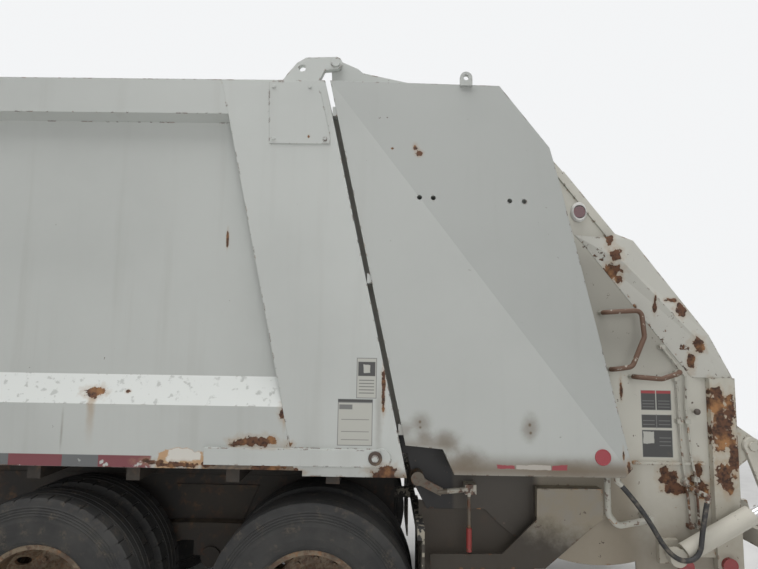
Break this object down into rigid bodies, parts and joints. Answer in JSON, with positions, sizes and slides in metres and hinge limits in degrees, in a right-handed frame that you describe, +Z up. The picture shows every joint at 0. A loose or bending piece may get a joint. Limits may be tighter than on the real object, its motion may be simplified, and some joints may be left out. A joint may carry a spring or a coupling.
{
  "type": "garbage truck",
  "caption": "Three-axle rear-loading refuse truck: tilting cab, welded load body, raised tailgate with hopper, packer carriage and blade, and a bin lift.",
  "frame": {"origin": "on the ground, under the middle of the truck's length and width", "axes": "+X to the truck's rear, -Y to its left side, +Z up"},
  "size_m": [9.2, 2.74, 3.4408],
  "materials": {
    "body_paint": "satin",
    "cab_paint": "gloss",
    "chassis_paint": "matte",
    "rim_paint": "matte",
    "tyre_rubber": "matte",
    "axle_iron": "matte",
    "hopper_steel": "worn",
    "lift_paint": "matte",
    "rod_chrome": "polished",
    "window_glass": "clear",
    "black_plastic": "grained",
    "dash_plastic": "grained",
    "seat_cloth": "woven",
    "lamp_red": "gloss",
    "lamp_clear": "gloss",
    "flap_rubber": "matte",
    "hose_rubber": "matte"
  },
  "bodies": {
    "chassis": {"frame_rails": "chassis_paint", "front_bumper": "cab_paint", "front_axle": "axle_iron", "leaf_springs": "axle_iron", "rear_axles": "axle_iron", "engine_and_driveline": "axle_iron", "fuel_and_air_tanks": "chassis_paint", "mudguards": "flap_rubber", "headlamps": "lamp_clear", "body_floor": "chassis_paint", "body_front_wall": "body_paint", "body_roof": "body_paint", "body_sides": "body_paint", "rear_frame": "body_paint"},
    "cab": {"cab_shell": "cab_paint", "cab_steps": "black_plastic", "cab_glass": "window_glass", "grille": "black_plastic", "cab_floor": "dash_plastic", "seat_cushions": "seat_cloth", "dashboard": "dash_plastic", "steering_wheel": "black_plastic", "mirrors": "black_plastic"},
    "tailgate": {"tailgate_covers": "body_paint", "hopper_sides": "body_paint", "hopper_floor": "hopper_steel", "tailgate_roof": "body_paint", "rear_posts": "body_paint", "tail_lamps": "lamp_red", "grab_rails": "body_paint", "gate_locks": "hopper_steel", "packer_tracks": "hopper_steel", "hose_left": "hose_rubber", "hose_right": "hose_rubber"},
    "packer_carriage": {"packer_carriage": "hopper_steel"},
    "packer_blade": {"packer_blade": "hopper_steel"},
    "lift_frame": {"lift_frame": "lift_paint"},
    "tie_rod": {"tie_rod": "axle_iron"},
    "door_left": {"door_left": "cab_paint", "door_glass_left": "window_glass"},
    "knuckle_left": {"knuckle_left": "axle_iron"},
    "lift_barrel_left": {"lift_barrel_left": "lift_paint"},
    "lift_rod_left": {"lift_rod_left": "rod_chrome"},
    "wheel_front_left": {"tyre_front_left": "tyre_rubber", "rim_front_left": "rim_paint"},
    "wheel_middle_left": {"tyre_middle_left": "tyre_rubber", "rim_middle_left": "rim_paint"},
    "wheel_rear_left": {"tyre_rear_left": "tyre_rubber", "rim_rear_left": "rim_paint"},
    "door_right": {"door_right": "cab_paint", "door_glass_right": "window_glass"},
    "knuckle_right": {"knuckle_right": "axle_iron"},
    "lift_barrel_right": {"lift_barrel_right": "lift_paint"},
    "lift_rod_right": {"lift_rod_right": "rod_chrome"},
    "wheel_front_right": {"tyre_front_right": "tyre_rubber", "rim_front_right": "rim_paint"},
    "wheel_middle_right": {"tyre_middle_right": "tyre_rubber", "rim_middle_right": "rim_paint"},
    "wheel_rear_right": {"tyre_rear_right": "tyre_rubber", "rim_rear_right": "rim_paint"}
  },
  "joints": [
    {"name": "cab_tilt", "type": "hinge", "parent": "chassis", "child": "cab", "pos_m": [-4.495, 0, 0.715], "axis": [0, -1, 0], "range_deg": [0, 45]},
    {"name": "door_left_swing", "type": "hinge", "parent": "cab", "child": "door_left", "pos_m": [-4.326, -1.203, 1.9], "axis": [0, 0, -1], "range_deg": [0, 70]},
    {"name": "door_right_swing", "type": "hinge", "parent": "cab", "child": "door_right", "pos_m": [-4.326, 1.203, 1.9], "axis": [0, 0, 1], "range_deg": [0, 70]},
    {"name": "steer_left", "type": "hinge", "parent": "chassis", "child": "knuckle_left", "pos_m": [-3.15, -0.84, 0.535], "axis": [0, 0, 1], "range_deg": [-35, 35]},
    {"name": "steer_right", "type": "hinge", "parent": "chassis", "child": "knuckle_right", "pos_m": [-3.15, 0.84, 0.535], "axis": [0, 0, 1], "range_deg": [-35, 35]},
    {"name": "tie_rod_slide", "type": "slide", "parent": "chassis", "child": "tie_rod", "axis": [0, 1, 0], "range_m": [-0.11484, 0.11484]},
    {"name": "wheel_front_left_spin", "type": "hinge", "parent": "knuckle_left", "child": "wheel_front_left", "pos_m": [-3.15, -1, 0.535], "axis": [0, 1, 0], "continuous": true},
    {"name": "wheel_front_right_spin", "type": "hinge", "parent": "knuckle_right", "child": "wheel_front_right", "pos_m": [-3.15, 1, 0.535], "axis": [0, 1, 0], "continuous": true},
    {"name": "wheel_middle_left_spin", "type": "hinge", "parent": "chassis", "child": "wheel_middle_left", "pos_m": [0.76, -1.08, 0.535], "axis": [0, 1, 0], "continuous": true},
    {"name": "wheel_middle_right_spin", "type": "hinge", "parent": "chassis", "child": "wheel_middle_right", "pos_m": [0.76, 1.08, 0.535], "axis": [0, 1, 0], "continuous": true},
    {"name": "wheel_rear_left_spin", "type": "hinge", "parent": "chassis", "child": "wheel_rear_left", "pos_m": [2.14, -1.08, 0.535], "axis": [0, 1, 0], "continuous": true},
    {"name": "wheel_rear_right_spin", "type": "hinge", "parent": "chassis", "child": "wheel_rear_right", "pos_m": [2.14, 1.08, 0.535], "axis": [0, 1, 0], "continuous": true},
    {"name": "tailgate_lift", "type": "hinge", "parent": "chassis", "child": "tailgate", "pos_m": [2.201, 0, 3.405], "axis": [0, -1, 0], "range_deg": [0, 80]},
    {"name": "carriage_slide", "type": "slide", "parent": "tailgate", "child": "packer_carriage", "axis": [0.6143, 0, -0.7891], "range_m": [0, 1.05]},
    {"name": "blade_swing", "type": "hinge", "parent": "packer_carriage", "child": "packer_blade", "pos_m": [2.995, 0, 2.34854], "axis": [0, -1, 0], "range_deg": [0, 95]},
    {"name": "bin_lift", "type": "hinge", "parent": "tailgate", "child": "lift_frame", "pos_m": [4.44, 0, 1.36], "axis": [0, -1, 0], "range_deg": [0, 130]},
    {"name": "lift_barrel_left_swing", "type": "hinge", "parent": "tailgate", "child": "lift_barrel_left", "pos_m": [3.99, -1.13, 0.815], "axis": [0, -1, 0], "range_deg": [0, 24.71]},
    {"name": "lift_rod_left_slide", "type": "slide", "parent": "lift_barrel_left", "child": "lift_rod_left", "axis": [0.8745, 0, 0.485], "range_m": [0, 0.33358]},
    {"name": "lift_barrel_right_swing", "type": "hinge", "parent": "tailgate", "child": "lift_barrel_right", "pos_m": [3.99, 1.13, 0.815], "axis": [0, -1, 0], "range_deg": [0, 24.71]},
    {"name": "lift_rod_right_slide", "type": "slide", "parent": "lift_barrel_right", "child": "lift_rod_right", "axis": [0.8745, 0, 0.485], "range_m": [0, 0.33358]}
  ],
  "couplings": [
    {"joint": "steer_right", "follows": "steer_left", "ratio": 1},
    {"joint": "tie_rod_slide", "follows": "steer_left", "m_per_rad": 0.188},
    {"joint": "lift_barrel_left_swing", "follows": "bin_lift", "ratio": 0.19006},
    {"joint": "lift_rod_left_slide", "follows": "bin_lift", "m_per_rad": 0.14702},
    {"joint": "lift_barrel_right_swing", "follows": "bin_lift", "ratio": 0.19006},
    {"joint": "lift_rod_right_slide", "follows": "bin_lift", "m_per_rad": 0.14702}
  ]
}
